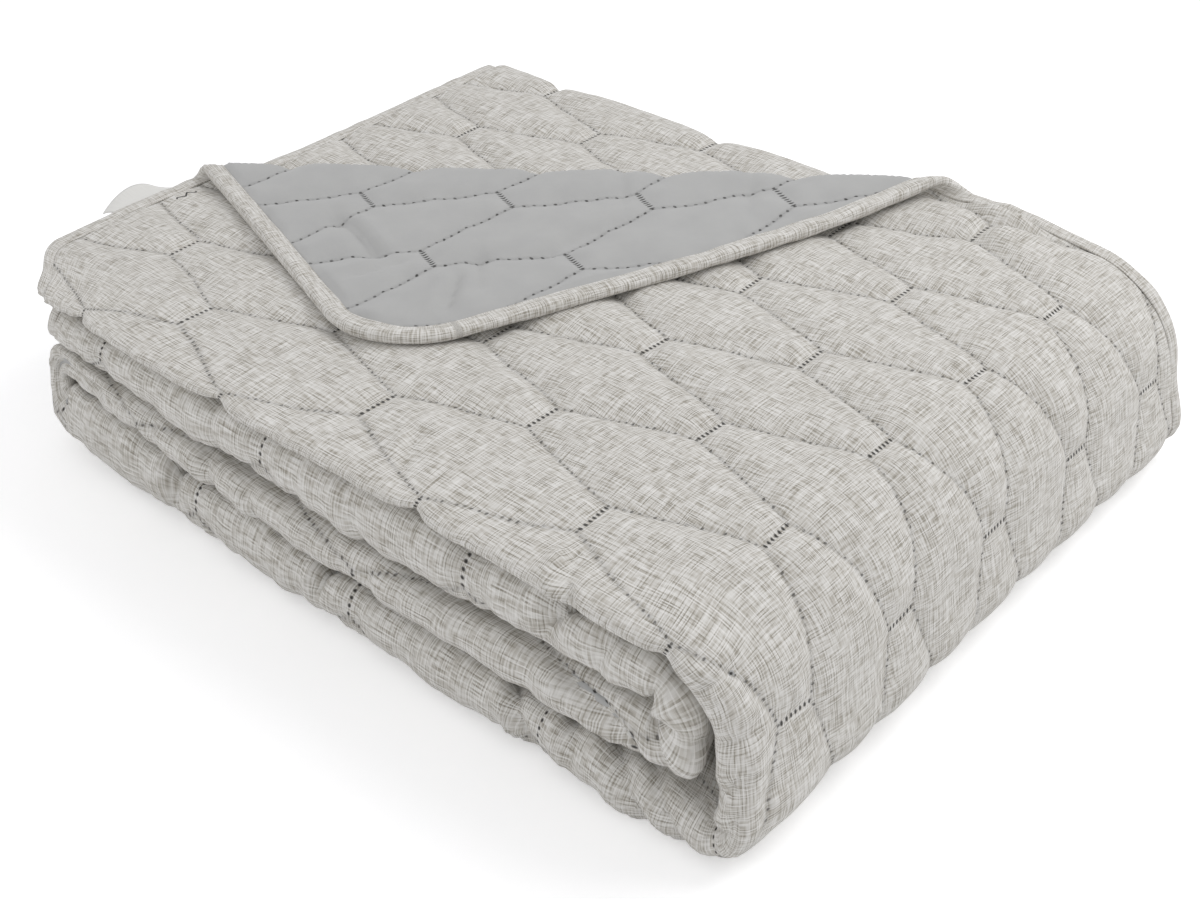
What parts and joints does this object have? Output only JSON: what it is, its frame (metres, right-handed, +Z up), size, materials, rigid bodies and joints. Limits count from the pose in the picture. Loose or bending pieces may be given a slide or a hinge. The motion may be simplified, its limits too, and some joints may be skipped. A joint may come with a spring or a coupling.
{
  "type": "folded quilt",
  "caption": "Quilted bedspread folded into a flat rectangular stack with bound edges, one corner of its top layer turned back to show the plain reverse.",
  "frame": {"origin": "middle of the bounding box's bottom face, on the surface that the quilt lies on", "axes": "+X along the longer side of the folded stack, towards its great bend; +Y towards the side edge of the top layer; +Z up"},
  "size_m": [0.6786, 0.5252, 0.1632],
  "materials": {
    "face_cloth": "matt linen-look plain weave",
    "binding_cloth": "matt linen-look plain weave",
    "label_satin": "soft satin ribbon"
  },
  "bodies": {
    "root": {"quilted_panel": "face_cloth", "edge_binding": "binding_cloth", "care_label": "label_satin"}
  },
  "joints": []
}
